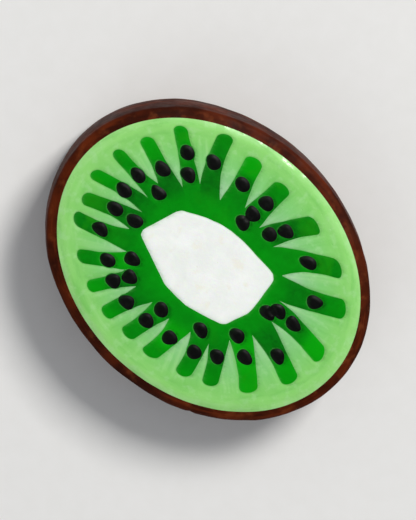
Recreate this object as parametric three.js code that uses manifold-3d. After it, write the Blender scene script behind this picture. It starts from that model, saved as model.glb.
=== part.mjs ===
// A kiwi slice cut from a cane of coloured modelling clay, lying flat on its back.
//
// A cane is a log built up from strips of clay, so every colour runs straight through the slice:
// a brown skin, a light green flesh with pointed teeth, a dark green star with a ray in each gap
// between two teeth, and a white core. The black seeds sit on the rays and stand a little proud.
//
// Millimetres. X is the long way of the oval slice, Z is up, and the origin is the middle of the
// underside. The pattern is laid out on a round cane whose face has radius 1: a place on it is an
// angle and a share of that radius. Pressing the cane made it oval, and its pattern with it.
import * as THREE from "three";
import { mergeVertices } from "three/addons/utils/BufferGeometryUtils.js";
import Module from "manifold-3d";

const wasm = await Module();
wasm.setup();

// The slice, in millimetres
const FACE_LONG = 19.6;
const FACE_WIDE = 15.4;
const THICKNESS = 4.8;
const SKIN = 0.6;
const SKIN_LIFT = 0.12;
const SIDE_BULGE = 0.08;
const CROWN = 0.14;
const TOP_ROUND = 0.45;
const UNDERSIDE_ROUND = 0.25;
const SEAM = 0.05;
const ROUND_SIDES = 96;

// The rays of the star, once round the cane. `at` is a ray's angle two thirds of the way out, and
// `lean` is how far round it turns from there to its tip, both in degrees. `reach` is how far out
// it ends, and `valley` is where the gap after it begins. Each seed is an angle and how far out
// it lies.
const RAYS = [
  { at: 9, lean: -4, reach: 0.88, valley: 0.48, seeds: [[10, 0.62], [12, 0.5], [5, 0.45]] },
  { at: 29, lean: 1, reach: 0.91, valley: 0.48, seeds: [[29, 0.7]] },
  { at: 53, lean: -4, reach: 0.89, valley: 0.48, seeds: [[52, 0.68]] },
  { at: 72, lean: -3, reach: 0.85, valley: 0.48, seeds: [[72, 0.62], [75, 0.51]] },
  { at: 91, lean: -1, reach: 0.84, valley: 0.52, seeds: [[91, 0.65], [93, 0.52], [95, 0.42]] },
  { at: 107, lean: -1, reach: 0.88, valley: 0.48, seeds: [[107, 0.66]] },
  { at: 125, lean: -4, reach: 0.95, valley: 0.56, seeds: [[124, 0.73]] },
  { at: 138, lean: 0, reach: 0.95, valley: 0.54, seeds: [[137, 0.77], [139, 0.62]] },
  { at: 153, lean: 1, reach: 0.9, valley: 0.6, seeds: [[153, 0.68]] },
  { at: 168, lean: 1, reach: 0.9, valley: 0.56, seeds: [[168, 0.7], [164, 0.55]] },
  { at: 180, lean: 4, reach: 0.9, valley: 0.52, seeds: [[181, 0.69]] },
  { at: 194, lean: 3, reach: 0.88, valley: 0.54, seeds: [[194, 0.67], [194, 0.53]] },
  { at: 210, lean: -2, reach: 0.9, valley: 0.54, seeds: [[209, 0.72]] },
  { at: 226, lean: -1, reach: 0.88, valley: 0.56, seeds: [[226, 0.68], [224, 0.51]] },
  { at: 238, lean: 1, reach: 0.87, valley: 0.54, seeds: [[238, 0.68], [237, 0.56]] },
  { at: 251, lean: 1, reach: 0.86, valley: 0.5, seeds: [[251, 0.66]] },
  { at: 265, lean: -1, reach: 0.83, valley: 0.5, seeds: [[265, 0.63], [266, 0.49]] },
  { at: 280, lean: -4, reach: 0.83, valley: 0.5, seeds: [[281, 0.62]] },
  { at: 297, lean: -4, reach: 0.83, valley: 0.54, seeds: [[297, 0.63], [299, 0.46]] },
  { at: 310, lean: -4, reach: 0.84, valley: 0.5, seeds: [[311, 0.62]] },
  { at: 328, lean: -4, reach: 0.87, valley: 0.5, seeds: [[328, 0.63], [329, 0.48]] },
  { at: 348, lean: -3, reach: 0.88, valley: 0.5, seeds: [[347, 0.69]] },
];
const LEAN_FROM = 0.65;
const LEAN_OVER = 0.2;
const TIP_ROUND = 0.04;

// Half a ray's width, as a share of the angle from it to the rays beside it.
const RAY_FILL = 0.17;

// Between two rays the gap opens quickly from its valley, and then the rays' sides run straight.
const OPENING = 4;
const SIDE_STEPS = 8;
const TIP_STEPS = 4;

const SEED_LENGTH = 0.106;
const SEED_WIDTH = 0.095;
const SEED_PROUD = 0.1;
const SEED_COLLAR = 0.006;
const SEED_SIDES = 8;

// The hole for an inner clay is the same outline, grown by the seam as a share of the face. The
// seam closes a narrow valley for some way out, so the valley moves out by several seams.
const SEAM_SHARE = SEAM / (FACE_WIDE / 2);
const VALLEY_SEAMS = 3;

// The core's corners: angle in degrees, and how far out.
const CORE_CORNERS = [
  [40, 0.44],
  [85, 0.32],
  [108, 0.32],
  [131, 0.34],
  [155, 0.4],
  [200, 0.48],
  [228, 0.36],
  [252, 0.35],
  [281, 0.35],
  [320, 0.4],
  [353, 0.37],
];

const CLAYS = {
  skin: { color: 0x3a1406, roughness: 0.38 },
  flesh: { color: 0x97d678, roughness: 0.5 },
  seeded_star: { color: 0x0b7f12, roughness: 0.5 },
  core: { color: 0xf4f6f0, roughness: 0.5 },
};

function degrees(angle) {
  return (angle * Math.PI) / 180;
}

// A place on the round cane as a point of the oval face.
function onFace(angle, share) {
  return new THREE.Vector2(
    (FACE_LONG / 2) * share * Math.cos(angle),
    (FACE_WIDE / 2) * share * Math.sin(angle),
  );
}

// ---- layout of the rays ----

// The angle of a ray's middle line, which leans as it goes out.
function rayMiddle(ray, share) {
  return degrees(ray.at + (ray.lean * (share - LEAN_FROM)) / LEAN_OVER);
}

// The ray next to this one: -1 is the one before it, 1 the one after it.
function neighbour(i, side) {
  return RAYS[(i + side + RAYS.length) % RAYS.length];
}

// Rays that stand further apart are wider.
function halfWidth(i) {
  const apart = (neighbour(i, 1).at - neighbour(i, -1).at + 360) % 360;
  return RAY_FILL * degrees(apart / 2);
}

// Here and below, `grow` is 0 for the star itself, and the seam for the hole that it stands in.
function valleyBeside(i, side, grow) {
  const valley = side < 0 ? neighbour(i, side).valley : RAYS[i].valley;
  return valley + VALLEY_SEAMS * grow;
}

function shoulderOf(ray, grow) {
  return ray.reach + grow - TIP_ROUND;
}

// The angle from a ray's middle to the valley on one side of it.
function gapHalfAngle(i, side, grow) {
  const share = valleyBeside(i, side, grow);
  const between = rayMiddle(neighbour(i, side), share) - rayMiddle(RAYS[i], share);
  return Math.abs(Math.asin(Math.sin(between / 2)));
}

// How far a seed and its collar reach to one side of their ray's middle, as an angle.
function collarReach(ray, [at, out], side, share, grow) {
  const collar = SEED_COLLAR + grow;
  const along = (share - out) / (SEED_LENGTH / 2 + collar);
  if (Math.abs(along) >= 1) return 0;
  const across = (SEED_WIDTH / 2 + collar) * Math.sqrt(1 - along * along);
  return side * (degrees(at) - rayMiddle(ray, share)) + across / share;
}

// The angle of one side of a ray: the whole gap at the valley, and the same width from there on.
function rayHalfAngle(i, side, share, grow) {
  const ray = RAYS[i];
  const valley = valleyBeside(i, side, grow);
  const left = 1 - (share - valley) / (shoulderOf(ray, grow) - valley);
  const straight = (halfWidth(i) + grow) / share;
  const half = straight + (gapHalfAngle(i, side, grow) - straight) * left ** OPENING;
  return Math.max(half, ...ray.seeds.map((seed) => collarReach(ray, seed, side, share, grow)));
}

// ---- flat outlines, each a closed list of points ----

// The face's oval, this many millimetres further out.
function ovalOutline(further) {
  const oval = new THREE.EllipseCurve(0, 0, FACE_LONG / 2 + further, FACE_WIDE / 2 + further);
  return oval.getPoints(ROUND_SIDES).slice(1);
}

function coreOutline(grow) {
  return CORE_CORNERS.map(([at, share]) => onFace(degrees(at), share + grow));
}

// One side of a ray, from its valley out to its shoulder. The points lie closer near the valley,
// where the side bends.
function raySide(i, side, grow) {
  const valley = valleyBeside(i, side, grow);
  const shoulder = shoulderOf(RAYS[i], grow);
  const points = [];
  for (let k = 0; k <= SIDE_STEPS; k++) {
    const share = valley + (k / SIDE_STEPS) ** 1.5 * (shoulder - valley);
    const angle = rayMiddle(RAYS[i], share) + side * rayHalfAngle(i, side, share, grow);
    points.push(onFace(angle, share));
  }
  return points;
}

function rayTip(i, grow) {
  const shoulder = shoulderOf(RAYS[i], grow);
  const points = [];
  for (let k = 1; k < TIP_STEPS; k++) {
    const turn = (Math.PI * k) / TIP_STEPS;
    const across = -Math.cos(turn);
    const half = rayHalfAngle(i, Math.sign(across), shoulder, grow);
    const share = shoulder + TIP_ROUND * Math.sin(turn);
    points.push(onFace(rayMiddle(RAYS[i], share) + across * half, share));
  }
  return points;
}

// Each valley belongs to the ray after it, so it is one point of the outline.
function starOutline(grow) {
  const rays = RAYS.map((_, i) => [
    ...raySide(i, -1, grow),
    ...rayTip(i, grow),
    ...raySide(i, 1, grow).slice(1).reverse(),
  ]);
  return rays.flat();
}

// ---- solids ----

function toSolid(geometry) {
  const bare = geometry.index ? geometry.toNonIndexed() : geometry.clone();
  bare.deleteAttribute("normal");
  bare.deleteAttribute("uv");
  const merged = mergeVertices(bare, 1e-4);
  return new wasm.Manifold(
    new wasm.Mesh({
      numProp: 3,
      vertProperties: merged.attributes.position.array,
      triVerts: new Uint32Array(merged.index.array),
    }),
  );
}

function toGeometry(solid) {
  const { vertProperties, triVerts } = solid.getMesh();
  const geometry = new THREE.BufferGeometry();
  geometry.setAttribute("position", new THREE.BufferAttribute(vertProperties, 3));
  geometry.setIndex(new THREE.BufferAttribute(triVerts, 1));
  geometry.computeVertexNormals();
  return geometry;
}

// A rod of one outline that runs up through the slice from this height, and past its face.
function rodFrom(height, outline) {
  const pastFace = 1;
  const depth = THICKNESS + pastFace - height;
  const rod = new THREE.ExtrudeGeometry(new THREE.Shape(outline), { depth, bevelEnabled: false });
  return toSolid(rod.translate(0, 0, height));
}

function rodThrough(outline) {
  const belowUnderside = -1;
  return rodFrom(belowUnderside, outline);
}

// The whole slice in one clay: a flat underside, swelling sides and a slightly crowned face.
function wholeSlice() {
  const radius = FACE_LONG / 2 + SKIN;
  const rim = THICKNESS - CROWN;
  const profile = new THREE.Path();
  profile.moveTo(0, 0);
  profile.lineTo(radius - UNDERSIDE_ROUND, 0);
  profile.quadraticCurveTo(radius, 0, radius, UNDERSIDE_ROUND);
  profile.quadraticCurveTo(radius + 2 * SIDE_BULGE, THICKNESS / 2, radius, rim - TOP_ROUND);
  profile.quadraticCurveTo(radius, rim, radius - TOP_ROUND, rim);
  profile.quadraticCurveTo(radius / 2, THICKNESS, 0, THICKNESS);
  const pointsPerCurve = 4;
  const lathe = new THREE.LatheGeometry(profile.getPoints(pointsPerCurve), ROUND_SIDES);
  lathe.rotateX(Math.PI / 2);
  lathe.scale(1, (FACE_WIDE / 2 + SKIN) / radius, 1);
  return toSolid(lathe);
}

// A seed is a small dome with its widest part at the height of the rim, under the crowned face.
function seedOn([at, share]) {
  const middle = onFace(degrees(at), share);
  const seed = new THREE.SphereGeometry(0.5, SEED_SIDES, 4);
  seed.rotateX(Math.PI / 2);
  seed.scale(SEED_LENGTH, SEED_WIDTH, 2 * (CROWN + SEED_PROUD));
  seed.rotateZ(degrees(at));
  seed.scale(FACE_LONG / 2, FACE_WIDE / 2, 1);
  return toSolid(seed.translate(middle.x, middle.y, THICKNESS - CROWN));
}

const slice = wholeSlice();

function skin() {
  const lifted = slice.intersect(rodFrom(SKIN_LIFT, ovalOutline(2 * SKIN)));
  return lifted.subtract(rodThrough(ovalOutline(0)));
}

function flesh() {
  const inside = slice.intersect(rodThrough(ovalOutline(-SEAM)));
  return inside.subtract(rodThrough(starOutline(SEAM_SHARE)));
}

function seededStar() {
  const star = slice.intersect(rodThrough(starOutline(0)));
  const seeds = RAYS.flatMap((ray) => ray.seeds.map(seedOn));
  const seeded = seeds.reduce((body, seed) => body.add(seed), star);
  return seeded.subtract(rodThrough(coreOutline(SEAM_SHARE)));
}

function core() {
  return slice.intersect(rodThrough(coreOutline(0)));
}

const layers = { skin: skin(), flesh: flesh(), seeded_star: seededStar(), core: core() };

const kiwiSlice = new THREE.Group();
for (const [name, solid] of Object.entries(layers)) {
  const material = new THREE.MeshStandardMaterial({ ...CLAYS[name], metalness: 0 });
  const mesh = new THREE.Mesh(toGeometry(solid), material);
  mesh.name = name;
  kiwiSlice.add(mesh);
}

export default kiwiSlice;
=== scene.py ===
# %% [markdown]
# # A kiwi slice in coloured clay
#
# The object is a small slice cut from a *cane*: a log built up from strips of coloured clay, so
# that every slice shows the same picture. A brown skin is wrapped round light green flesh, the
# flesh reaches inwards in pale teeth, a dark green star fills the gaps between the teeth, and a
# white core sits in the middle. Black threads of clay run along the star's rays and show as seeds.
#
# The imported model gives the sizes. This lesson rebuilds each clay as a fine closed mesh of its
# own, because a picture painted on one plain oval would have no clay behind it: seen from the
# side or from below, or taken apart, each colour should go all the way through.

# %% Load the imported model
import math
import random
from collections import namedtuple

import bpy
import numpy as np
from mathutils import Matrix, Vector, kdtree, noise
from mathutils.geometry import delaunay_2d_cdt


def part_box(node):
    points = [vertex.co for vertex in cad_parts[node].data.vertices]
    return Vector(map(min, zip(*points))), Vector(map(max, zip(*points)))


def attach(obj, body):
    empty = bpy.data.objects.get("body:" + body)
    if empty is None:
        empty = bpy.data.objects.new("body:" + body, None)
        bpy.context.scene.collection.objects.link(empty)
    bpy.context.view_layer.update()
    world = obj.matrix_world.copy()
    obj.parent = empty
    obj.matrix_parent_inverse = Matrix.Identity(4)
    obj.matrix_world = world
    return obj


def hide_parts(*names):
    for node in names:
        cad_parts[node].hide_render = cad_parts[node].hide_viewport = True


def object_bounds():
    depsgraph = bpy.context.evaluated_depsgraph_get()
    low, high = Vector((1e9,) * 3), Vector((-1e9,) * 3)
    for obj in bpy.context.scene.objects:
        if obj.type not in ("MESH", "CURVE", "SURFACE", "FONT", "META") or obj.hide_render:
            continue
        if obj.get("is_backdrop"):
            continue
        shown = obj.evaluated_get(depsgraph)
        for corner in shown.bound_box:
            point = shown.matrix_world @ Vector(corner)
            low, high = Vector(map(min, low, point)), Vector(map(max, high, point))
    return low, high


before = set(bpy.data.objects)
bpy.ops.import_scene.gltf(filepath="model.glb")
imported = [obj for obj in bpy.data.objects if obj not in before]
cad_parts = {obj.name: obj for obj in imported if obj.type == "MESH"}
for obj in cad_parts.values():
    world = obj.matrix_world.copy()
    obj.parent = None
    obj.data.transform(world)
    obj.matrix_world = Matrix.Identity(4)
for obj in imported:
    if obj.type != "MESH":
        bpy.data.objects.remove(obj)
packed_low, packed_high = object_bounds()
print("packed nodes:", ", ".join(sorted(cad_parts)))

# %% [markdown]
# ## Sizes
#
# A slice of 2 cm is easiest to think about in millimetres, so the shapes are worked out in
# millimetres and turned into metres when a mesh is made. The sizes of the face, the slice and the
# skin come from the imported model's boxes. What the model leaves out, such as the depth of the
# creases between two clays, is set here.

# %% Sizes in millimetres
MM = 0.001
SEAM = 0.05

flesh_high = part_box("flesh")[1]
skin_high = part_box("skin")[1]
FACE_A = flesh_high.x / MM + SEAM
FACE_B = flesh_high.y / MM + SEAM
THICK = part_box("core")[1].z / MM
SIDE_OUT = skin_high.x / MM - FACE_A
print(f"face {2 * FACE_A:.1f} by {2 * FACE_B:.1f} mm, {THICK:.1f} mm thick, skin reaches out {SIDE_OUT:.2f}")

# %% [markdown]
# ## The pattern of the cane
#
# Before it was pressed oval, the cane was round. The pattern is easiest to lay out on that round
# cane, with its face as a circle of radius 1: a place is an angle and a *share* of the radius. One
# function then presses it into the oval. A formula could space the rays evenly, but a hand-built
# cane is not even, and its uneven rhythm is what makes this slice look handmade. So each ray has
# its own numbers: its angle two thirds of the way out, how far it leans over from there, how far
# it reaches, where the gap after it begins, and where its seeds lie. The rays and the seeds were
# read off an enlarged picture, and a few seeds moved a little to keep clear of their neighbours.
# Where the gaps begin was judged. A ray's width follows from how far its neighbours stand away.
# The imported model leaves a thin seam between two clays. Here the darker clay fills it and
# *spreads* a hair over the paler one, as the knife leaves it.

# %% The rays and the core
Ray = namedtuple("Ray", "at lean reach valley seeds")

RAYS = [
    Ray(9, -4, 0.88, 0.48, [(10, 0.62), (12, 0.50), (5, 0.45)]),
    Ray(29, 1, 0.91, 0.48, [(29, 0.70)]),
    Ray(53, -4, 0.89, 0.48, [(52, 0.68)]),
    Ray(72, -3, 0.85, 0.48, [(72, 0.62), (75, 0.51)]),
    Ray(91, -1, 0.84, 0.52, [(91, 0.65), (93, 0.52), (95, 0.42)]),
    Ray(107, -1, 0.88, 0.48, [(107, 0.66)]),
    Ray(125, -4, 0.95, 0.56, [(124, 0.73)]),
    Ray(138, 0, 0.95, 0.54, [(137, 0.77), (139, 0.62)]),
    Ray(153, 1, 0.90, 0.60, [(153, 0.68)]),
    Ray(168, 1, 0.90, 0.56, [(168, 0.70), (164, 0.55)]),
    Ray(180, 4, 0.90, 0.52, [(181, 0.69)]),
    Ray(194, 3, 0.88, 0.54, [(194, 0.67), (194, 0.53)]),
    Ray(210, -2, 0.90, 0.54, [(209, 0.72)]),
    Ray(226, -1, 0.88, 0.56, [(226, 0.68), (224, 0.51)]),
    Ray(238, 1, 0.87, 0.54, [(238, 0.68), (237, 0.56)]),
    Ray(251, 1, 0.86, 0.50, [(251, 0.66)]),
    Ray(265, -1, 0.83, 0.50, [(265, 0.63), (266, 0.49)]),
    Ray(280, -4, 0.83, 0.50, [(281, 0.62)]),
    Ray(297, -4, 0.83, 0.54, [(297, 0.63), (299, 0.46)]),
    Ray(310, -4, 0.84, 0.50, [(311, 0.62)]),
    Ray(328, -4, 0.87, 0.50, [(328, 0.63), (329, 0.48)]),
    Ray(348, -3, 0.88, 0.50, [(347, 0.69)]),
]

CORE_CORNERS = [
    (40, 0.44), (85, 0.32), (108, 0.32), (131, 0.34), (155, 0.40), (200, 0.48),
    (228, 0.36), (252, 0.35), (281, 0.35), (320, 0.40), (353, 0.37),
]

LEAN_FROM = 0.65
LEAN_OVER = 0.2
TIP_ROUND = 0.04
OPENING = 4
RAY_FILL = 0.17
SPREAD = 0.007
SEED_LENGTH = 0.11
SEED_WIDTH = 0.1
SEED_COLLAR = 0.004
print(len(RAYS), "rays,", sum(len(ray.seeds) for ray in RAYS), "seeds")


# %% From the round cane to the oval face
def on_face(angle, share):
    """A place on the round cane, in millimetres on the oval face."""
    return Vector((FACE_A * share * math.cos(angle), FACE_B * share * math.sin(angle)))


def share_at(x, y):
    """How far out a place on the face lies: 0 in the middle, 1 at the rim."""
    return math.hypot(x / FACE_A, y / FACE_B)


def ray_middle(ray, share):
    """The angle of a ray's middle line, which leans as it goes out."""
    return math.radians(ray.at + ray.lean * (share - LEAN_FROM) / LEAN_OVER)


def neighbour(i, side):
    """The ray before (-1) or after (1) ray i."""
    return RAYS[(i + side) % len(RAYS)]


def half_width(i):
    """Half a ray's width: rays that stand further apart are wider."""
    apart = (neighbour(i, 1).at - neighbour(i, -1).at) % 360
    return RAY_FILL * math.radians(apart / 2)


def valley_beside(i, side):
    """How far out the gap on one side of ray i begins."""
    return neighbour(i, side).valley if side < 0 else RAYS[i].valley


def gap_beside(i, side):
    """The angle from a ray's middle to the valley on one side of it."""
    share = valley_beside(i, side)
    between = ray_middle(neighbour(i, side), share) - ray_middle(RAYS[i], share)
    return (side * between) % math.tau / 2


def collar_reach(ray, seed, side, share):
    """How far a seed and a thin collar round it reach to one side of their ray's middle."""
    at, out = seed
    along = (share - out) / (SEED_LENGTH / 2 + SEED_COLLAR)
    if abs(along) >= 1:
        return 0
    across = (SEED_WIDTH / 2 + SEED_COLLAR) * math.sqrt(1 - along * along)
    return side * (math.radians(at) - ray_middle(ray, share)) + across / share


def ray_half(i, side, share):
    """The angle of one side of a ray: the gap opens quickly, and then the side runs straight."""
    ray = RAYS[i]
    valley = valley_beside(i, side)
    left = max(0, 1 - (share - valley) / (ray.reach - TIP_ROUND - valley))
    straight = (half_width(i) + SPREAD) / share
    half = straight + (gap_beside(i, side) - straight) * left**OPENING
    return max([half] + [collar_reach(ray, seed, side, share) for seed in ray.seeds])


# %% [markdown]
# ## Outlines
#
# Every border between two clays is a closed line of points. Four things give it the look of clay
# and not of a drawing: the points lie evenly close together, the core's corners are a little
# blunt, each seed has its own shape, and one slow wobble shifts the whole pattern. The wobble
# moves neighbouring borders together, as rolling and pressing do, so that they never cross.

# %% Outlines of the star, the core and the seeds
OUTLINE_STEP = 0.08
SIDE_STEPS = 24
TIP_STEPS = 12
SLOW_WOBBLE = 0.05
SLOW_WAVES = 0.4
QUICK_WOBBLE = 0.025
QUICK_WAVES = 1.7
OVAL_POINTS = 720
SEED_POINTS = 24
SEED_STEP = 0.06


def handmade(point):
    """Shifts a place on the face a little, in millimetres."""
    # Blender draws the offsets of noise_vector anew when it starts, so each run wobbles differently.
    slow = noise.noise_vector(Vector((point.x, point.y, 0)) * SLOW_WAVES) * SLOW_WOBBLE
    quick = noise.noise_vector(Vector((point.x, point.y, 9)) * QUICK_WAVES) * QUICK_WOBBLE
    return point + (slow + quick).to_2d()


def evenly(loop, step=OUTLINE_STEP):
    """The closed line through these points again, with points about `step` apart."""
    points = np.array([tuple(p) for p in loop + loop[:1]])
    run = np.concatenate([[0], np.cumsum(np.linalg.norm(np.diff(points, axis=0), axis=1))])
    count = max(8, round(run[-1] / step))
    places = np.arange(count) * run[-1] / count
    return [Vector((np.interp(s, run, points[:, 0]), np.interp(s, run, points[:, 1]))) for s in places]


def blunt(loop, cut=0.1, times=2):
    """Takes the corners off a closed line."""
    for _ in range(times):
        pairs = zip(loop, loop[1:] + loop[:1])
        loop = [p for a, b in pairs for p in (a.lerp(b, cut), b.lerp(a, cut))]
    return loop


def ray_outline(i):
    """The points of one ray, from the valley before it round its tip."""
    ray = RAYS[i]
    shoulder = ray.reach - TIP_ROUND
    sides = {}
    for side in (-1, 1):
        valley = valley_beside(i, side)
        # The points crowd towards the valley, where a side bends most.
        steps = [(k / SIDE_STEPS) ** 1.5 for k in range(SIDE_STEPS + 1)]
        shares = [valley + step * (shoulder - valley) for step in steps]
        sides[side] = [on_face(ray_middle(ray, s) + side * ray_half(i, side, s), s) for s in shares]
    tip = []
    for k in range(1, TIP_STEPS):
        turn = math.pi * k / TIP_STEPS
        across = -math.cos(turn)
        half = ray_half(i, -1 if across < 0 else 1, shoulder)
        share = shoulder + TIP_ROUND * math.sin(turn)
        tip.append(on_face(ray_middle(ray, share) + across * half, share))
    return sides[-1] + tip + sides[1][:0:-1]


def seed_outline(seed):
    """An oval seed that is pointed, turned and dented a little, each one differently."""
    at, share = seed
    angle = math.radians(at)
    outwards = Vector((math.cos(angle), math.sin(angle)))
    sideways = Vector((-math.sin(angle), math.cos(angle)))
    pointed = random.uniform(-0.12, 0.2)
    turned = random.uniform(-0.15, 0.15)
    dent = random.uniform(0.02, 0.07)
    dent_at = random.uniform(0, math.tau)
    ring = []
    for k in range(SEED_POINTS):
        t = math.tau * k / SEED_POINTS
        reach = 1 + dent * math.cos(3 * t + dent_at)
        length = reach * SEED_LENGTH / 2 * math.cos(t)
        width = reach * SEED_WIDTH / 2 * (math.sin(t) * (1 - pointed * math.cos(t)) + turned * math.cos(t))
        ring.append(outwards * (share + length) + sideways * width)
    return [Vector((p.x * FACE_A, p.y * FACE_B)) for p in ring]


random.seed(22)
oval = evenly([on_face(math.tau * k / OVAL_POINTS, 1) for k in range(OVAL_POINTS)])
star = evenly([handmade(p) for i in range(len(RAYS)) for p in ray_outline(i)])
core_corners = [on_face(math.radians(at), share) for at, share in CORE_CORNERS]
core = evenly([handmade(p) for p in evenly(blunt(core_corners))])
seed_shapes = [seed_outline(seed) for ray in RAYS for seed in ray.seeds]
seeds = [evenly([handmade(p) for p in shape], SEED_STEP) for shape in seed_shapes]
print("points: oval", len(oval), "star", len(star), "core", len(core), "seeds", sum(map(len, seeds)))

# %% [markdown]
# ## Dividing the face
#
# The clays have to meet exactly, or gaps would show between them. Cutting them out of each other
# with booleans is slow and leaves long thin triangles. Here the whole face is one sheet of
# points: the borders, and a honeycomb of points between them. A *constrained Delaunay
# triangulation* joins them into even triangles without ever crossing a border, and says which
# outlines each triangle lies in. Two neighbouring clays then share the very same border points.

# %% Triangles of the whole face
HONEYCOMB = 0.075
KEEP_CLEAR = 0.6


def honeycomb(border_tree):
    """Points that fill the oval evenly, but for those too close to a border."""
    points = []
    row_height = HONEYCOMB * math.sqrt(3) / 2
    for j in range(int(-FACE_B / row_height), int(FACE_B / row_height) + 1):
        for i in range(int(-FACE_A / HONEYCOMB), int(FACE_A / HONEYCOMB) + 1):
            p = Vector(((i + j % 2 / 2) * HONEYCOMB, j * row_height))
            if share_at(p.x, p.y) < 1 and border_tree.find(p.to_3d())[2] > KEEP_CLEAR * HONEYCOMB:
                points.append(p)
    return points


def tree_of(points):
    """A search tree that finds the nearest of these points."""
    tree = kdtree.KDTree(len(points))
    for i, p in enumerate(points):
        tree.insert(p.to_3d(), i)
    tree.balance()
    return tree


loops = [oval, star, core] + seeds
sheet, loop_faces = [], []
for loop in loops:
    loop_faces.append(list(range(len(sheet), len(sheet) + len(loop))))
    sheet += loop
border_tree = tree_of(sheet)
sheet += honeycomb(border_tree)
flat, _, triangles, _, _, lies_in = delaunay_2d_cdt(sheet, [], loop_faces, 1, 1e-7)
print(len(flat), "points and", len(triangles), "triangles on the face")

# %% Which clay each triangle is
# The places of these outlines among the loops. Those of the seeds come after them.
STAR, CORE = 1, 2


def clay_of(outlines):
    """The clay of a triangle that lies in these outlines."""
    if any(i > CORE for i in outlines):
        return "seeds"
    if CORE in outlines:
        return "core"
    return "star" if STAR in outlines else "flesh"


parts = {"flesh": [], "star": [], "core": [], "seeds": []}
for corners, outlines in zip(triangles, lies_in):
    parts[clay_of(outlines)].append(corners)
print({name: len(found) for name, found in parts.items()})

# %% [markdown]
# ## Relief of the two faces
#
# The knife left the upper face almost flat, but not quite. It is crowned a little, it rolls over
# at the rim, it has slow lumps from the pressing and long low ridges along the cut, and each
# border between two clays is a shallow crease. The seeds are harder clay and stand a hair proud.
# The underside was baked on a flat tile, so it keeps the pattern but is flatter. All this is real
# relief in the mesh: it shows in a low light and at the rim, where a bump in the material would
# give itself away.

# %% Height of the upper face and of the underside
CROWN = 0.14
ROLL_FROM = 0.93
ROLL_DEPTH = 0.11
ROLL_UNEVEN = 0.7
LUMPS = 0.03
PRESSED = 0.012
CREASE = 0.022
CREASE_WIDTH = 0.11
SEED_PROUD = 0.06
SEED_EDGE = 0.14
UNDER_ROLL = 0.04
UNDER_CREASE = 0.3
KNIFE_ANGLE = math.radians(24)
KNIFE_RIDGES = 0.007
knife_way = Vector((math.cos(KNIFE_ANGLE), math.sin(KNIFE_ANGLE)))


def knife_ridges(x, y):
    """Long low ridges that run the way the knife went."""
    along, across = knife_way.x * x + knife_way.y * y, knife_way.x * y - knife_way.y * x
    return KNIFE_RIDGES * noise.noise(Vector((along * 0.12, across * 1.5, 7)))


def rolled_over(share):
    """How far the rim has rolled over at a place: 0 on the face, 1 at its edge."""
    return max(0, (share - ROLL_FROM) / (1 - ROLL_FROM))


def upper_height(x, y):
    """The upper face, without its creases."""
    share = share_at(x, y)
    rolled = rolled_over(share)
    roll = ROLL_DEPTH * rolled**2 * (1 + ROLL_UNEVEN * noise.noise(Vector((x, y, 8)) * 0.8))
    lump = LUMPS * noise.noise(Vector((x, y, 3)) * 0.35)
    pressed = PRESSED * noise.noise(Vector((x, y, 5)) * 1.3)
    return THICK - LUMPS - CROWN * share**2 - roll + lump + pressed + knife_ridges(x, y)


def lower_height(x, y):
    """The underside: flat where it lay on the tile, lifted a little round its edge."""
    return UNDER_ROLL * rolled_over(share_at(x, y)) ** 2


clay_border_tree = tree_of([p for loop in loops[1:] for p in loop])
seed_points = {i for corners in parts["seeds"] for i in corners}
border = [clay_border_tree.find(p.to_3d())[2] for p in flat]
upper, lower = [], []
for i, p in enumerate(flat):
    crease = CREASE * math.exp(-((border[i] / CREASE_WIDTH) ** 2))
    proud = 0
    if i in seed_points:
        proud = SEED_PROUD * (1 - math.exp(-((border[i] / SEED_EDGE) ** 2)))
    upper.append(upper_height(p.x, p.y) - crease + proud)
    lower.append(lower_height(p.x, p.y) + UNDER_CREASE * crease)
print(f"upper face from {min(upper):.2f} to {max(upper):.2f} mm")

# %% [markdown]
# ## Traces of the knife and of the strips
#
# Two things about a point's surroundings matter for its colour, and a material can't look round
# for them, so they are worked out here and stored on the mesh. A blade drags a little of each clay
# over the next one, always the same way: a point just past a dark ray is tinted darker, and a
# point just past the pale flesh paler. And each ray was put together from strips mixed by hand, so
# its inner part and its tip each have their own tone.

# %% What the knife drags over each point, and the tone of each ray
DRAG_REACH = 0.3
DRAG_SAMPLES = 6
DRAG_FADE = 2.2
INNER_FROM = 0.44
INNER_OVER = 0.12
TIP_FROM = 0.68
TIP_OVER = 0.08
DARKNESS = {"core": 0, "flesh": 1, "star": 2, "seeds": 3}

# A border point belongs to two clays, and the one that comes last here is kept.
clay_at = np.zeros(len(flat), int)
for name in ("flesh", "core", "star", "seeds"):
    clay_at[list({i for corners in parts[name] for i in corners})] = DARKNESS[name]
face_tree = tree_of(flat)
drag_steps = [DRAG_REACH * k / DRAG_SAMPLES for k in range(1, DRAG_SAMPLES + 1)]
drag_weights = [math.exp(-DRAG_FADE * step / DRAG_REACH) for step in drag_steps]


def dragged_over(i):
    """How much darker and how much paler clay the knife drew over point i, each 0 to 1."""
    if border[i] > DRAG_REACH:
        return 0, 0
    darker = paler = 0
    for step, weight in zip(drag_steps, drag_weights):
        _, before, _ = face_tree.find((flat[i] - knife_way * step).to_3d())
        change = clay_at[before] - clay_at[i]
        darker += weight * (change > 0)
        paler += weight * (change < 0)
    return darker / sum(drag_weights), paler / sum(drag_weights)


random.seed(7)
inner_tones = [random.uniform(-1, 1) for _ in RAYS]
tip_tones = [random.uniform(-1, 1) for _ in RAYS]


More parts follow.
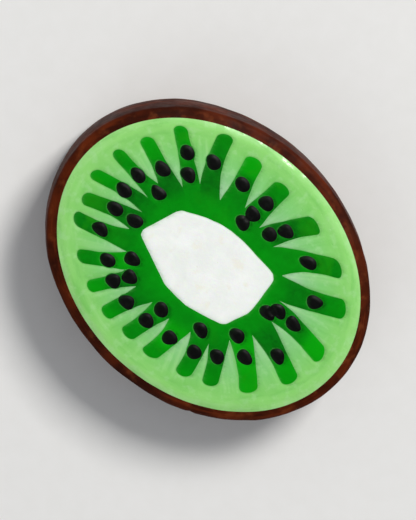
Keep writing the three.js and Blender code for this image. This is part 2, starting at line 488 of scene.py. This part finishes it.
def strip_tone(p):
    """The tone of the star at a place, -1 (darker) to 1 (brighter), and 0 next to the core."""
    x, y = p.x / FACE_A, p.y / FACE_B
    share, angle = math.hypot(x, y), math.atan2(y, x)
    away = [abs((angle - ray_middle(ray, share) + math.pi) % math.tau - math.pi) for ray in RAYS]
    nearest = away.index(min(away))
    in_ray = min(1, max(0, (share - INNER_FROM) / INNER_OVER))
    in_tip = min(1, max(0, (share - TIP_FROM) / TIP_OVER))
    return in_ray * (inner_tones[nearest] * (1 - in_tip) + tip_tones[nearest] * in_tip)


drags = [dragged_over(i) for i in range(len(flat))]
traces = {
    "clay_border": border,
    "dragged_darker": [darker for darker, _ in drags],
    "dragged_paler": [paler for _, paler in drags],
    "strip_tone": [strip_tone(p) for p in flat],
}
print({name: f"{min(values):.2f} to {max(values):.2f}" for name, values in traces.items()})

# %% [markdown]
# ## Clay solids
#
# Each clay becomes one closed mesh: its triangles at the height of the upper face, the same
# triangles turned over at the underside, and a wall down every border. The walls meet the
# neighbour's walls exactly. They can't be seen, but they make each clay a real rod of clay.

# %% Turn triangles into a closed solid
SHARP_ANGLE = math.radians(40)


def new_piece(name, points, faces):
    """A mesh object from points in millimetres."""
    mesh = bpy.data.meshes.new(name)
    mesh.from_pydata([Vector(p) * MM for p in points], [], faces)
    mesh.shade_smooth()
    mesh.set_sharp_from_angle(angle=SHARP_ANGLE)
    piece = bpy.data.objects.new(name, mesh)
    bpy.context.scene.collection.objects.link(piece)
    return piece


def wall_edges(corner_lists):
    """The edges with a triangle on one side only, in the direction that the triangle runs."""
    edges = {}
    for a, b, c in corner_lists:
        for start, end in ((a, b), (b, c), (c, a)):
            edges[start, end] = True
    return [(start, end) for start, end in edges if (end, start) not in edges]


def clay_solid(name, corner_lists):
    """One clay as a closed mesh, with the traces stored on its points."""
    used = sorted({i for corners in corner_lists for i in corners})
    place = {old: new for new, old in enumerate(used)}
    below = len(used)
    points = [(flat[i].x, flat[i].y, upper[i]) for i in used]
    points += [(flat[i].x, flat[i].y, lower[i]) for i in used]
    faces = [[place[i] for i in corners] for corners in corner_lists]
    faces += [[place[i] + below for i in reversed(corners)] for corners in corner_lists]
    for start, end in wall_edges(corner_lists):
        a, b = place[start], place[end]
        faces.append([b, a, a + below, b + below])
    piece = new_piece(name, points, faces)
    for trace, values in traces.items():
        stored = piece.data.attributes.new(trace, "FLOAT", "POINT")
        stored.data.foreach_set("value", [values[i] for i in used] * 2)
    return piece


green_flesh = clay_solid("green_flesh", parts["flesh"])
dark_star = clay_solid("dark_star", parts["star"])
white_core = clay_solid("white_core", parts["core"])
black_seeds = clay_solid("black_seeds", parts["seeds"])
for piece in (green_flesh, dark_star, white_core, black_seeds):
    print(piece.name, len(piece.data.polygons), "faces")

# %% [markdown]
# ## The skin
#
# The skin is a thin sheet of brown clay that was wrapped round the cane. It could be the oval
# made thicker, but a plain wall looks like a cut pipe. Here one cross-section is swept round the
# oval: it leaves the face's rim at the same slope, turns over, swells down the side where the
# knife pressed the slice, and tucks under. Its thickness drifts, it has shallow ridges along the
# cane from the rolling, and one faint join where the sheet's two ends met.

# %% Sweep the skin's cross-section round the oval
SKIN = 0.6
SIDE_BULGE = SIDE_OUT - SKIN
UNDER_LIFT = 0.06
TURN_DEPTH = 0.42
TUCK_HEIGHT = 0.34
SKIN_DRIFT = 0.14
ROLLED_SLOW = 0.035
ROLLED_QUICK = 0.014
DENTS = 0.012
JOIN_AT = math.radians(300)
JOIN_DEPTH = 0.05
JOIN_WIDE = 0.018
LAP_AWAY = 0.06
LAP_HIGH = 0.02
LAP_WIDE = 0.05
TURN_STEPS, SIDE_ROWS, TUCK_STEPS = 9, 22, 7


def bezier(a, b, c, d, t):
    """A point on a cubic curve, in (out, up) millimetres."""
    s = 1 - t
    return a * s**3 + b * (3 * s * s * t) + c * (3 * s * t * t) + d * t**3


def skin_section(width, rim, foot):
    """The cross-section from the rim of the face, down the side and under to its foot."""
    rim_point, shoulder = Vector((0, rim)), Vector((width, rim - TURN_DEPTH))
    heel, foot_point = Vector((width, TUCK_HEIGHT)), Vector((0, foot))
    swell = width + SIDE_BULGE * 4 / 3
    span = shoulder.y - heel.y
    # Each curve runs from one place to the next, and two handles pull it on its way.
    over_rim = Vector((width * 0.5, rim - 0.12)), Vector((width, rim - 0.17))
    down_side = Vector((swell, shoulder.y - span / 3)), Vector((swell, heel.y + span / 3))
    under_edge = Vector((width, foot + 0.08)), Vector((width * 0.55, foot))
    curves = [
        (TURN_STEPS, rim_point, *over_rim, shoulder),
        (SIDE_ROWS, shoulder, *down_side, heel),
        (TUCK_STEPS, heel, *under_edge, foot_point),
    ]
    points = [rim_point]
    for steps, a, b, c, d in curves:
        points += [bezier(a, b, c, d, k / steps) for k in range(1, steps + 1)]
    return points


def side_unevenness(angle, height):
    """How far the side stands out or in at a place, in millimetres."""
    around = Vector((math.cos(angle) * 5, math.sin(angle) * 4, height * 0.12))
    rolled = ROLLED_SLOW * noise.noise(around) + ROLLED_QUICK * noise.noise(around * 3.1)
    dents = DENTS * noise.noise(Vector((math.cos(angle) * 9, math.sin(angle) * 7, height * 0.9)))
    away = (angle - JOIN_AT + math.pi) % math.tau - math.pi
    groove = -JOIN_DEPTH * math.exp(-((away / JOIN_WIDE) ** 2))
    lap = LAP_HIGH * math.exp(-(((away - LAP_AWAY) / LAP_WIDE) ** 2))
    return rolled + dents + (groove + lap)


def sweep_skin(name):
    """The skin: its cross-section stands on every point of the oval, and faces join them."""
    rows = []
    for i, p in enumerate(oval):
        angle = math.atan2(p.y / FACE_B, p.x / FACE_A)
        outward = Vector((p.x / FACE_A**2, p.y / FACE_B**2)).normalized()
        drift = noise.noise(Vector((math.cos(angle), math.sin(angle), 4)) * 2.2)
        width = SKIN * (1 + SKIN_DRIFT * drift)
        row = []
        for out, up in skin_section(width, upper[i], lower[i] + UNDER_LIFT):
            # Close to the flesh the skin has to fit it, so it is uneven only further out.
            free = min(1, out / (0.6 * SKIN))
            out += free * side_unevenness(angle, up)
            row.append((p.x + outward.x * out, p.y + outward.y * out, up))
        rows.append(row)
    count, high = len(rows), len(rows[0])
    points = [point for row in rows for point in row]
    faces = []
    for i in range(count):
        here, after = i * high, (i + 1) % count * high
        for k in range(high):
            below = (k + 1) % high
            faces.append([here + k, here + below, after + below, after + k])
    return new_piece(name, points, faces)


brown_skin = sweep_skin("brown_skin")
print(brown_skin.name, len(brown_skin.data.polygons), "faces")

# %% [markdown]
# ## Wiring materials
#
# A material is a small machine of nodes. Written out link by link it is hard to read, so this
# helper adds a node, sets its inputs from numbers or from other nodes' sockets, and gives back the
# socket that the next step needs.


# %% A helper for nodes and groups
class Wiring:
    """Adds nodes to one node tree. An input is a number, a colour or another node's socket."""

    def __init__(self, tree):
        self.tree = tree

    def node(self, kind, inputs=None, **settings):
        node = self.tree.nodes.new("ShaderNode" + kind)
        for key, value in settings.items():
            setattr(node, key, value)
        for key, value in (inputs or {}).items():
            self.feed(node.inputs[key], value)
        return node

    def feed(self, socket, value):
        if isinstance(value, bpy.types.NodeSocket):
            self.tree.links.new(value, socket)
        else:
            socket.default_value = value

    def math(self, operation, a, b=0.0, clamp=False):
        return self.node("Math", {0: a, 1: b}, operation=operation, use_clamp=clamp).outputs[0]

    def vector(self, operation, a, b=(0, 0, 0)):
        node = self.node("VectorMath", {0: a, 1: b}, operation=operation)
        return node.outputs["Value" if operation in ("LENGTH", "DOT_PRODUCT") else "Vector"]

    def between(self, value, low, high, to_low=0.0, to_high=1.0):
        inputs = {"Value": value, "From Min": low, "From Max": high, "To Min": to_low, "To Max": to_high}
        return self.node("MapRange", inputs, interpolation_type="SMOOTHSTEP").outputs["Result"]

    def noise(self, place, scale, detail=2.0, roughness=0.5, distortion=0.0):
        inputs = {"Vector": place, "Scale": scale, "Detail": detail, "Roughness": roughness,
                  "Distortion": distortion}
        return self.node("TexNoise", inputs).outputs["Fac"]

    def blend(self, amount, a, b):
        """Colour a where amount is 0, and b where it is 1."""
        node = self.node("Mix", data_type="RGBA")
        for socket, value in zip((node.inputs[0], node.inputs[6], node.inputs[7]), (amount, a, b)):
            self.feed(socket, value)
        return node.outputs[2]

    def ramp(self, value, stops):
        """A colour for each value, through these (place, colour) stops."""
        node = self.node("ValToRGB", {"Fac": value})
        for _ in stops[2:]:
            node.color_ramp.elements.new(1.0)
        for element, (place, colour) in zip(node.color_ramp.elements, stops):
            element.position = place
            element.color = colour
        return node.outputs["Color"]

    def group(self, tree, inputs=None):
        node = self.node("Group", node_tree=tree)
        for key, value in (inputs or {}).items():
            self.feed(node.inputs[key], value)
        return node.outputs


def new_group(name, inputs, outputs):
    """An empty node group, its wiring, its inputs and its output node."""
    tree = bpy.data.node_groups.new(name, "ShaderNodeTree")
    for label, default in inputs.items():
        kind = "NodeSocketVector" if isinstance(default, tuple) else "NodeSocketFloat"
        tree.interface.new_socket(label, in_out="INPUT", socket_type=kind).default_value = default
    for label, kind in outputs.items():
        tree.interface.new_socket(label, in_out="OUTPUT", socket_type="NodeSocket" + kind)
    return Wiring(tree), tree.nodes.new("NodeGroupInput").outputs, tree.nodes.new("NodeGroupOutput").inputs


def paint(red, green, blue):
    """A colour as seen, 0 to 255, in the linear light that Blender mixes."""
    def linear(value):
        value /= 255
        return value / 12.92 if value <= 0.04045 else ((value + 0.055) / 1.055) ** 2.4
    return (linear(red), linear(green), linear(blue), 1.0)


# %% [markdown]
# ## Effects that several clays share
#
# Five effects come back in more than one clay, so each is a node group, built once:
#
# - *place in the cane*: how far out a point lies, as a share of the oval, and which way. Colours
#   that change from the core to the skin read it.
# - *cane streaks*: the marbling of hand-mixed clay. It runs along the cane, so it barely changes
#   from the upper face to the underside.
# - *knife marks*: fine parallel lines left by the blade, on the two cut faces only.
# - *clay grain*: the fine bumps and pinholes of baked clay.
# - *handling*: slow patches that are a little shinier or duller, from fingers and from the tile.

# %% Group: place in the cane
cane_place, given, out = new_group("cane place", {"Half Long": FACE_A, "Half Wide": FACE_B},
                                   {"Share": "Float", "Around": "Vector", "Millimetres": "Vector"})
millimetres = cane_place.vector("SCALE", cane_place.node("TexCoord").outputs["Object"])
millimetres.node.inputs["Scale"].default_value = 1 / MM
apart = cane_place.node("SeparateXYZ", {0: millimetres}).outputs
along = cane_place.math("DIVIDE", apart["X"], given["Half Long"])
across = cane_place.math("DIVIDE", apart["Y"], given["Half Wide"])
round_cane = cane_place.node("CombineXYZ", {"X": along, "Y": across}).outputs[0]
cane_place.feed(out["Share"], cane_place.vector("LENGTH", round_cane))
cane_place.feed(out["Around"], cane_place.vector("NORMALIZE", round_cane))
cane_place.feed(out["Millimetres"], millimetres)
print("group:", cane_place.tree.name)

# %% Group: cane streaks
cane_streaks, given, out = new_group(
    "cane streaks", {"Millimetres": (0, 0, 0), "Size": 1.0, "Shift": 0.0, "Contrast": 0.3},
    {"Mask": "Float"})
stretched = cane_streaks.vector("MULTIPLY", given["Millimetres"], (1, 1, 0.08))
shift = cane_streaks.node("CombineXYZ", {"X": given["Shift"], "Y": given["Shift"]}).outputs[0]
shifted = cane_streaks.vector("ADD", stretched, shift)
clouds = cane_streaks.noise(shifted, cane_streaks.math("DIVIDE", 1.0, given["Size"]), 4.0, 0.55, 0.6)
low = cane_streaks.math("SUBTRACT", 0.5, given["Contrast"])
high = cane_streaks.math("ADD", 0.5, given["Contrast"])
cane_streaks.feed(out["Mask"], cane_streaks.between(clouds, low, high))
print("group:", cane_streaks.tree.name)

# %% Group: knife marks
knife_marks, given, out = new_group(
    "knife marks", {"Millimetres": (0, 0, 0), "Direction": KNIFE_ANGLE, "Lines For Each Millimetre": 5.0},
    {"Height": "Float", "Lines": "Float"})
back_turn = knife_marks.math("MULTIPLY", given["Direction"], -1.0)
turned = knife_marks.node("VectorRotate", {"Vector": given["Millimetres"], "Angle": back_turn},
                          rotation_type="Z_AXIS").outputs[0]
drawn_out = knife_marks.vector("MULTIPLY", turned, (0.045, 1, 0.02))
lines = knife_marks.noise(drawn_out, given["Lines For Each Millimetre"], 3.0, 0.6)
deep = knife_marks.noise(knife_marks.vector("MULTIPLY", turned, (0.03, 0.5, 0)), 1.5, 1.0)
strength = knife_marks.between(deep, 0.4, 0.7)
facing = knife_marks.node("SeparateXYZ", {0: knife_marks.node("NewGeometry").outputs["Normal"]}).outputs["Z"]
on_cut_face = knife_marks.between(knife_marks.math("ABSOLUTE", facing), 0.8, 0.97)
height = knife_marks.math("MULTIPLY", knife_marks.math("MULTIPLY", lines, strength), on_cut_face)
knife_marks.feed(out["Height"], height)
knife_marks.feed(out["Lines"], lines)
print("group:", knife_marks.tree.name)

# %% Group: clay grain
clay_grain, given, out = new_group(
    "clay grain", {"Millimetres": (0, 0, 0), "Grain Size": 0.25, "Pinholes": 0.5},
    {"Height": "Float", "Pinhole": "Float"})
fineness = clay_grain.math("DIVIDE", 1.0, given["Grain Size"])
coarse = clay_grain.noise(given["Millimetres"], fineness, 3.0, 0.55)
cells = clay_grain.node("TexVoronoi", {"Vector": given["Millimetres"], "Scale": 1.9, "Randomness": 1.0},
                        feature="F1").outputs
hole = clay_grain.between(cells["Distance"], 0.03, 0.1, 1.0, 0.0)
picked = clay_grain.node("SeparateColor", {0: cells["Color"]}).outputs[0]
some = clay_grain.math("LESS_THAN", picked, given["Pinholes"])
pinhole = clay_grain.math("MULTIPLY", hole, some)
clay_grain.feed(out["Height"], clay_grain.math("SUBTRACT", coarse, pinhole))
clay_grain.feed(out["Pinhole"], pinhole)
print("group:", clay_grain.tree.name)

# %% Group: handling
handling, given, out = new_group(
    "handling", {"Millimetres": (0, 0, 0), "Dull": 0.55, "Shiny": 0.35}, {"Roughness": "Float"})
patches = handling.noise(given["Millimetres"], 0.3, 3.0, 0.6)
fine = handling.noise(given["Millimetres"], 2.5, 2.0, 0.5)
both = handling.math("ADD", handling.math("MULTIPLY", patches, 0.7), handling.math("MULTIPLY", fine, 0.3))
handling.feed(out["Roughness"], handling.between(both, 0.35, 0.65, given["Shiny"], given["Dull"]))
print("group:", handling.tree.name)

# %% [markdown]
# ## The clays
#
# Baked clay is a soft plastic: light goes a little way into it, which softens the shading, and its
# surface is satin. Every clay is finished by the same function, which adds the shared relief and
# gloss to a colour. The clays differ in their colour wiring and in a few plain numbers.


# %% Finish a clay
LIGHT_DEPTH = 0.25
DEPTH_BY_COLOUR = (0.7, 1.0, 0.5)


def clay_material(name, colour_of, dull, shiny, soft, grain=0.009, knife=0.006, shine=0.3, rim_polish=0.0):
    """A baked clay. colour_of wires its colour; soft is how much light goes into it."""
    material = bpy.data.materials.new(name)
    material.use_nodes = True
    wiring = Wiring(material.node_tree)
    shader = material.node_tree.nodes["Principled BSDF"]
    place = wiring.group(cane_place.tree)
    where = place["Millimetres"]
    bumps = wiring.group(clay_grain.tree, {"Millimetres": where})
    cuts = wiring.group(knife_marks.tree, {"Millimetres": where})
    gloss = wiring.group(handling.tree, {"Millimetres": where, "Dull": dull, "Shiny": shiny})
    worn = wiring.between(wiring.noise(where, 1.3, 2.0), 0.45, 0.58, 0.0, rim_polish)
    at_rim = wiring.between(place["Share"], 0.93, 0.985)
    polish = wiring.math("SUBTRACT", 1.0, wiring.math("MULTIPLY", worn, at_rim))
    relief = wiring.math("ADD", wiring.math("MULTIPLY", bumps["Height"], grain),
                         wiring.math("MULTIPLY", cuts["Height"], knife))
    bump = wiring.node("Bump", {"Height": relief, "Distance": MM, "Strength": 1.0})
    shader.inputs["Specular IOR Level"].default_value = shine
    shader.inputs["Subsurface Weight"].default_value = soft
    shader.inputs["Subsurface Radius"].default_value = DEPTH_BY_COLOUR
    shader.inputs["Subsurface Scale"].default_value = LIGHT_DEPTH * MM
    wiring.feed(shader.inputs["Base Color"], colour_of(wiring, place, bumps, cuts))
    wiring.feed(shader.inputs["Roughness"], wiring.math("MULTIPLY", gloss["Roughness"], polish))
    wiring.feed(shader.inputs["Normal"], bump.outputs[0])
    return material


def near_border(wiring, reach, most):
    """A mask that fades away from the border with the next clay."""
    distance = wiring.node("Attribute", attribute_name="clay_border").outputs["Fac"]
    return wiring.between(distance, 0.0, reach, most, 0.0)


def dragged(wiring, trace, cuts, most):
    """A mask of the clay that the knife drew over, broken up into its fine lines."""
    drawn = wiring.node("Attribute", attribute_name=trace).outputs["Fac"]
    in_lines = wiring.between(cuts["Lines"], 0.4, 0.62, 0.25, 1.0)
    return wiring.math("MULTIPLY", wiring.math("MULTIPLY", drawn, in_lines), most)


def marbling(wiring, place, size, shift=0.0, contrast=0.3):
    """A mask of the streaks that mixing by hand left in the clay. Each shift gives other streaks."""
    inputs = {"Millimetres": place["Millimetres"], "Size": size, "Shift": shift, "Contrast": contrast}
    return wiring.group(cane_streaks.tree, inputs)["Mask"]


# %% [markdown]
# ### Flesh
#
# The flesh is a blend of two greens, mixed by folding the clay again and again: a fresh bright
# green at the skin that pales to mint at the points of the teeth. Streaks follow the layers: round
# the slice near the skin, and outwards along the teeth.


# %% Flesh
def flesh_colour(wiring, place, bumps, cuts):
    outwards = wiring.ramp(place["Share"], [
        (0.42, paint(180, 210, 184)),
        (0.54, paint(164, 206, 164)),
        (0.64, paint(138, 200, 134)),
        (0.75, paint(130, 203, 117)),
        (0.86, paint(133, 206, 106)),
        (0.95, paint(145, 213, 114)),
        (1.00, paint(158, 218, 132)),
    ])
    layers = wiring.vector("MULTIPLY", place["Around"], (3, 3, 0))
    rings = wiring.node("CombineXYZ", {"Z": wiring.math("MULTIPLY", place["Share"], 17.0)}).outputs[0]
    round_streaks = wiring.noise(wiring.vector("ADD", layers, rings), 1.0, 3.0)
    spokes = wiring.vector("MULTIPLY", place["Around"], (16, 16, 0))
    slow_out = wiring.node("CombineXYZ", {"Z": wiring.math("MULTIPLY", place["Share"], 2.0)}).outputs[0]
    tooth_streaks = wiring.noise(wiring.vector("ADD", spokes, slow_out), 1.0, 3.0)
    near_skin = wiring.between(place["Share"], 0.82, 0.92)
    streaks = wiring.node("Mix", {0: near_skin, 2: tooth_streaks, 3: round_streaks}).outputs[0]
    darker = wiring.blend(wiring.between(streaks, 0.5, 0.72, 0.0, 0.5), outwards, paint(108, 190, 84))
    lighter = wiring.blend(wiring.between(streaks, 0.5, 0.28, 0.0, 0.4), darker, paint(172, 224, 150))
    folded = wiring.math("MULTIPLY", marbling(wiring, place, 1.6), 0.25)
    mixed = wiring.blend(folded, lighter, paint(116, 200, 92))
    mottled = wiring.between(wiring.noise(place["Millimetres"], 1.9, 4.0, 0.6), 0.5, 0.68, 0.0, 0.3)
    mixed = wiring.blend(mottled, mixed, paint(172, 220, 160))
    stained = wiring.blend(near_border(wiring, 0.1, 0.28), mixed, paint(40, 150, 40))
    return wiring.blend(dragged(wiring, "dragged_darker", cuts, 0.42), stained, paint(28, 128, 26))


flesh_clay = clay_material("flesh_clay", flesh_colour, dull=0.54, shiny=0.36, soft=0.2, rim_polish=0.68)
green_flesh.data.materials.append(flesh_clay)
print(flesh_clay.name)

# %% [markdown]
# ### Star
#
# The star was built from many thin strips, so its rays differ in tone: most are a full deep green,
# some are darker or brighter, and a few lean to olive. Small marbling streaks every strip.


# %% Star
def star_colour(wiring, place, bumps, cuts):
    broad = marbling(wiring, place, 2.0, shift=3.0, contrast=0.16)
    olive = marbling(wiring, place, 2.9, shift=11.0, contrast=0.2)
    fine = marbling(wiring, place, 0.5, shift=5.0, contrast=0.25)
    strip = wiring.node("Attribute", attribute_name="strip_tone").outputs["Fac"]
    tone = wiring.ramp(place["Share"], [
        (0.34, paint(0, 142, 8)),
        (0.46, paint(0, 131, 8)),
        (0.58, paint(0, 121, 8)),
        (0.70, paint(0, 125, 5)),
        (0.79, paint(0, 141, 3)),
        (0.92, paint(3, 148, 3)),
    ])
    tone = wiring.blend(wiring.math("MULTIPLY", broad, 0.35), tone, paint(0, 108, 10))
    tone = wiring.blend(wiring.between(strip, 0.0, -1.0, 0.0, 0.7), tone, paint(0, 86, 8))
    tone = wiring.blend(wiring.between(strip, 0.0, 1.0, 0.0, 0.7), tone, paint(5, 168, 2))
    more_at_tips = wiring.between(place["Share"], 0.66, 0.8, 0.1, 0.45)
    leaning = wiring.between(olive, 0.6, 1.0, 0.0, more_at_tips)
    tone = wiring.blend(leaning, tone, paint(34, 146, 3))
    tone = wiring.blend(wiring.math("MULTIPLY", fine, 0.25), tone, paint(2, 158, 18))
    tone = wiring.blend(near_border(wiring, 0.08, 0.08), tone, paint(44, 156, 44))
    tone = wiring.blend(dragged(wiring, "dragged_paler", cuts, 0.25), tone, paint(112, 192, 104))
    return wiring.blend(dragged(wiring, "dragged_darker", cuts, 0.6), tone, paint(3, 24, 5))


star_clay = clay_material("star_clay", star_colour, dull=0.6, shiny=0.45, soft=0.08, shine=0.06)
dark_star.data.materials.append(star_clay)
print(star_clay.name)

# %% [markdown]
# ### Core
#
# White clay shows everything. Besides a trace of grey marbling it has picked up a few warm specks
# from the hands and the bench, and a breath of green where it touches the star.


# %% Core
def core_colour(wiring, place, bumps, cuts):
    where = place["Millimetres"]
    grey = wiring.math("MULTIPLY", marbling(wiring, place, 1.1, shift=7.0), 0.5)
    tone = wiring.blend(grey, paint(244, 246, 242), paint(224, 230, 222))
    warm = wiring.between(wiring.noise(where, 1.4, 2.0), 0.58, 0.75, 0.0, 0.4)
    tone = wiring.blend(warm, tone, paint(236, 231, 208))
    # Painted shade: the pinholes are painted a darker warm grey.
    tone = wiring.blend(wiring.math("MULTIPLY", bumps["Pinhole"], 0.35), tone, paint(186, 180, 158))
    tone = wiring.blend(near_border(wiring, 0.5, 0.25), tone, paint(214, 232, 216))
    tone = wiring.blend(near_border(wiring, 0.12, 0.3), tone, paint(150, 212, 150))
    return wiring.blend(dragged(wiring, "dragged_darker", cuts, 0.4), tone, paint(112, 184, 112))


core_clay = clay_material("core_clay", core_colour, dull=0.52, shiny=0.38, soft=0.2)
white_core.data.materials.append(core_clay)
print(core_clay.name)

# %% [markdown]
# ### Seeds
#
# Black clay, with the faintest grey-green dust and a smear of green where the knife came in.


# %% Seeds
def seed_colour(wiring, place, bumps, cuts):
    where = place["Millimetres"]
    dust = wiring.between(wiring.noise(where, 3.5, 3.0), 0.5, 0.75, 0.0, 0.5)
    tone = wiring.blend(dust, paint(3, 4, 3), paint(16, 22, 16))
    return wiring.blend(dragged(wiring, "dragged_paler", cuts, 0.5), tone, paint(16, 74, 18))


seed_clay = clay_material("seed_clay", seed_colour, dull=0.55, shiny=0.36, soft=0.0, grain=0.006, shine=0.1)
black_seeds.data.materials.append(seed_clay)
print(seed_clay.name)

# %% [markdown]
# ### Skin
#
# The brown skin was rolled into a sheet before it was wrapped, and is the dullest of the clays. It
# is streaked round the slice, nearly black in places and red-brown in others, and its upper edge,
# which turns over towards the light, is painted lighter in patches as a painted highlight.


# %% Skin
def skin_colour(wiring, place, bumps, cuts):
    where = place["Millimetres"]
    broad = wiring.between(wiring.noise(where, 0.5, 3.0, 0.55), 0.38, 0.62)
    round_slice = wiring.vector("MULTIPLY", place["Around"], (2.5, 2.5, 0))
    height = wiring.node("SeparateXYZ", {0: where}).outputs["Z"]
    upwards = wiring.math("MULTIPLY", height, 2.2)
    outwards = wiring.math("MULTIPLY", place["Share"], 30.0)
    layers = wiring.node("CombineXYZ", {"Z": wiring.math("ADD", upwards, outwards)}).outputs[0]
    streaked = wiring.noise(wiring.vector("ADD", round_slice, layers), 1.0, 4.0, 0.6)
    tone = wiring.blend(broad, paint(50, 14, 3), paint(78, 27, 6))
    tone = wiring.blend(wiring.between(streaked, 0.5, 0.7, 0.0, 0.55), tone, paint(104, 41, 13))
    tone = wiring.blend(wiring.between(streaked, 0.5, 0.3, 0.0, 0.5), tone, paint(32, 9, 2))
    # Painted highlight: the top of the skin, where it turns over towards the light, is painted lighter in
    # patches.
    highlight_patches = wiring.between(wiring.noise(where, 1.7, 3.0), 0.5, 0.7)
    at_rim = wiring.math("MULTIPLY", wiring.between(height, THICK - 0.6, THICK - 0.3), highlight_patches)
    return wiring.blend(wiring.math("MULTIPLY", at_rim, 0.35), tone, paint(122, 62, 30))


skin_clay = clay_material("skin_clay", skin_colour, dull=0.7, shiny=0.46, soft=0.03, grain=0.012, knife=0.0,
                          shine=0.05)
brown_skin.data.materials.append(skin_clay)
print(skin_clay.name)

# %% [markdown]
# ## Put the pieces on the model
#
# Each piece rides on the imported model's one body and stands for the plain solid of its clay. The
# seeds are part of the star's solid, so both pieces stand for it.

# %% Ride and replace
standing_for = [
    (brown_skin, "skin", "skin"),
    (green_flesh, "flesh", "flesh"),
    (dark_star, "seeded_star", "star"),
    (black_seeds, "seeded_star", "seeds"),
    (white_core, "core", "core"),
]
for piece, node, slot in standing_for:
    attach(piece, "root")
    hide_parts(node)
print([piece.name for piece, _, _ in standing_for])

# %% [markdown]
# ## Floor, light and camera
#
# The floor is plain, pale and matt. The light is a large soft window to the upper right of the
# picture, with a weak one opposite, because the slice casts a soft shadow to its lower left. The
# camera looks almost straight down, from a little beyond the top of the picture, so that a narrow
# strip of the side shows along the top.

# %% Floor
floor_mesh = bpy.data.meshes.new("floor")
FLOOR_HALF = 0.4
corners = [(-1, -1), (1, -1), (1, 1), (-1, 1)]
floor_mesh.from_pydata([(x * FLOOR_HALF, y * FLOOR_HALF, 0) for x, y in corners], [], [(0, 1, 2, 3)])
floor = bpy.data.objects.new("floor", floor_mesh)
bpy.context.scene.collection.objects.link(floor)
floor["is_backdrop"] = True
pale = bpy.data.materials.new("pale_card")
pale.use_nodes = True
card = Wiring(pale.node_tree)
card_shader = pale.node_tree.nodes["Principled BSDF"]
card_noise = card.noise(card.node("TexCoord").outputs["Object"], 900.0, 3.0)
card_tone = card.blend(card_noise, paint(226, 225, 222), paint(231, 230, 228))
card.feed(card_shader.inputs["Base Color"], card_tone)
card_shader.inputs["Roughness"].default_value = 0.8
card_shader.inputs["Specular IOR Level"].default_value = 0.2
floor_mesh.materials.append(pale)
print("floor", 2 * FLOOR_HALF, "m square")


# %% Light
def from_slice(around, above, distance):
    """A place seen from the slice: degrees round it from +X, degrees above, and metres."""
    a, e = math.radians(around), math.radians(above)
    return Vector((math.cos(a) * math.cos(e), math.sin(a) * math.cos(e), math.sin(e))) * distance


def soft_window(name, around, above, distance, size, watts, colour):
    """A square light that faces the slice."""
    data = bpy.data.lights.new(name, "AREA")
    data.size = size
    data.energy = watts
    data.color = colour
    light = bpy.data.objects.new(name, data)
    light.location = from_slice(around, above, distance)
    light.rotation_euler = light.location.to_track_quat("Z", "Y").to_euler()
    bpy.context.scene.collection.objects.link(light)
    return light


UPPER_RIGHT = 92
soft_window("window", UPPER_RIGHT, above=44, distance=0.5, size=0.16, watts=2.3,
            colour=(1.0, 0.99, 0.97))
soft_window("far_wall", UPPER_RIGHT + 180, above=35, distance=0.6, size=0.4, watts=0.42,
            colour=(0.95, 0.97, 1.0))
world = bpy.data.worlds.new("room")
world.use_nodes = True
world.node_tree.nodes["Background"].inputs["Color"].default_value = (0.92, 0.95, 1.0, 1.0)
world.node_tree.nodes["Background"].inputs["Strength"].default_value = 0.34
bpy.context.scene.world = world
bpy.context.scene.view_settings.view_transform = "Standard"

# %% Camera
PICTURE = (416, 520)
CAMERA_AROUND = 144
CAMERA_ABOVE = 80.3
CAMERA_DISTANCE = 0.194
PICTURE_UP = 133
SHOWN_WIDE = 24.6 * MM
FILM_LONG_SIDE = 36
NEAREST_SHOWN = 0.01

camera_data = bpy.data.cameras.new("camera")
camera = bpy.data.objects.new("camera", camera_data)
bpy.context.scene.collection.objects.link(camera)
target = Vector((0, 0, THICK * 0.5 * MM))
back = from_slice(CAMERA_AROUND, CAMERA_ABOVE, 1.0)
up = from_slice(PICTURE_UP, 0, 1.0)
right = up.cross(back).normalized()
turned = Matrix((right, back.cross(right), back)).transposed()
camera.matrix_world = Matrix.Translation(target + back * CAMERA_DISTANCE) @ turned.to_4x4()
shown_high = SHOWN_WIDE * PICTURE[1] / PICTURE[0]
camera_data.sensor_width = FILM_LONG_SIDE
camera_data.lens = FILM_LONG_SIDE * CAMERA_DISTANCE / shown_high
camera_data.clip_start = NEAREST_SHOWN
bpy.context.scene.camera = camera
print(f"lens {camera_data.lens:.0f} mm at {CAMERA_DISTANCE * 1000:.0f} mm")

# %% [markdown]
# ## Sizes, and done
#
# The finish must not change the object's size. Both boxes are worked out and printed.

# %% Print the sizes
shown_low, shown_high_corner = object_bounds()
sizes = {
    "cad": [list(packed_low), list(packed_high)],
    "visual": [list(shown_low), list(shown_high_corner)],
}
for name, (low, high) in sizes.items():
    print(name, [f"{(b - a) * 1000:.2f}" for a, b in zip(low, high)], "mm")
